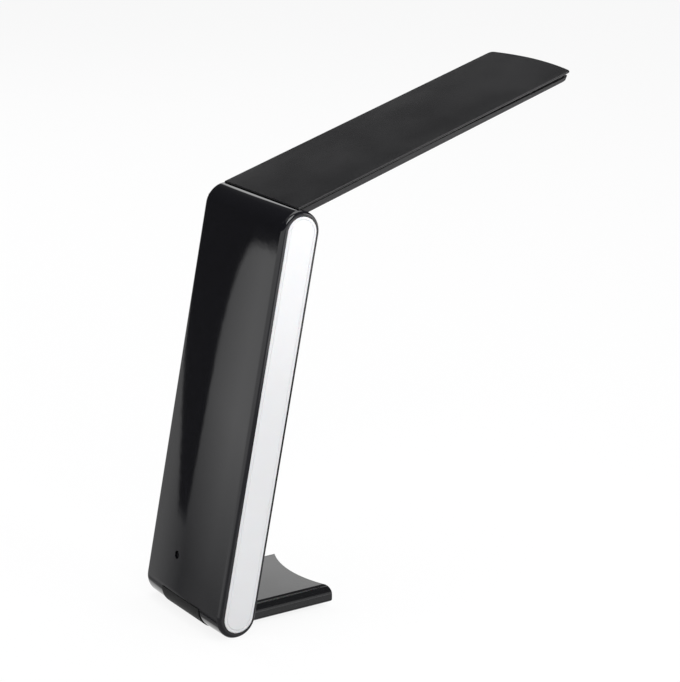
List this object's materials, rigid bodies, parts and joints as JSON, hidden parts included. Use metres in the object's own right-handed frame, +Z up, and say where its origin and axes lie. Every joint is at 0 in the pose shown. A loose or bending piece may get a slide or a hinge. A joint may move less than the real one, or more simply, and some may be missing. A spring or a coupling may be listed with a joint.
{
  "type": "folding led desk lamp",
  "caption": "Folding desk lamp: leaning flat post with white side strips, slim light head that folds into its front, and a short weighted foot that folds up.",
  "frame": {"origin": "on the desk, under the centre of the post's round bottom end, on the rubber strip's flat", "axes": "+X forward, the way the head and foot point; +Y across the post; +Z up"},
  "size_m": [0.2372, 0.081, 0.2884],
  "materials": {
    "black_gloss_shell": "deep black high gloss",
    "black_head": "black semi gloss",
    "black_satin": "black satin moulding",
    "white_inlay": "white high gloss",
    "foot_gloss": "black gloss",
    "inner_plastic": "black matte moulding",
    "nickel": "nickel plated",
    "spring_steel": "bright spring wire",
    "pin_steel": "ground steel",
    "ballast_steel": "zinc primed plate",
    "cell_jacket": "printed film jacket, plain",
    "board_green": "solder mask",
    "board_white": "white solder mask",
    "component_grey": "moulded components",
    "led_yellow": "phosphor gel",
    "diffuser_white": "opal diffuser",
    "rubber": "matte black rubber",
    "screw_steel": "blackened screws"
  },
  "bodies": {
    "post": {"rear_shell": "black_gloss_shell", "recess_panel": "black_satin", "side_inlay_near": "white_inlay", "side_inlay_far": "white_inlay", "battery_tray": "inner_plastic", "battery_contacts": "nickel", "battery_springs": "spring_steel", "battery_cells": "cell_jacket", "main_board": "board_green", "board_parts": "component_grey", "switch_body": "component_grey", "dc_jack": "component_grey", "head_hinge_pins": "pin_steel", "head_friction_washers": "spring_steel", "foot_hinge_rod": "pin_steel", "foot_friction_washers": "spring_steel", "bottom_pad": "rubber", "post_screws": "screw_steel"},
    "head": {"head_cover": "black_head", "head_tray": "black_satin", "led_board": "board_white", "led_chips": "led_yellow", "diffuser": "diffuser_white", "head_screws": "screw_steel"},
    "foot": {"foot_shell": "foot_gloss", "foot_base_cover": "black_satin", "foot_ballast": "ballast_steel", "foot_pads": "rubber", "foot_screws": "screw_steel"},
    "battery_door": {"battery_door": "black_satin"},
    "power_button": {"power_button": "black_satin"}
  },
  "joints": [
    {"name": "head_hinge", "type": "hinge", "parent": "post", "child": "head", "pos_m": [0.04154, 0, 0.21989], "axis": [0, 1, 0], "range_deg": [0, 118.3]},
    {"name": "foot_hinge", "type": "hinge", "parent": "post", "child": "foot", "pos_m": [-0.00106, 0, 0.0067], "axis": [0, 1, 0], "range_deg": [-78.7, 0]},
    {"name": "battery_door_lift", "type": "slide", "parent": "post", "child": "battery_door", "axis": [-0.9806, 0, 0.1959], "range_m": [-0.02, 0]},
    {"name": "power_button_press", "type": "slide", "parent": "post", "child": "power_button", "axis": [-0.9806, 0, 0.1959], "range_m": [0, 0.0008], "stiffness_N_per_m": 1500, "springref_m": -0.0003}
  ]
}
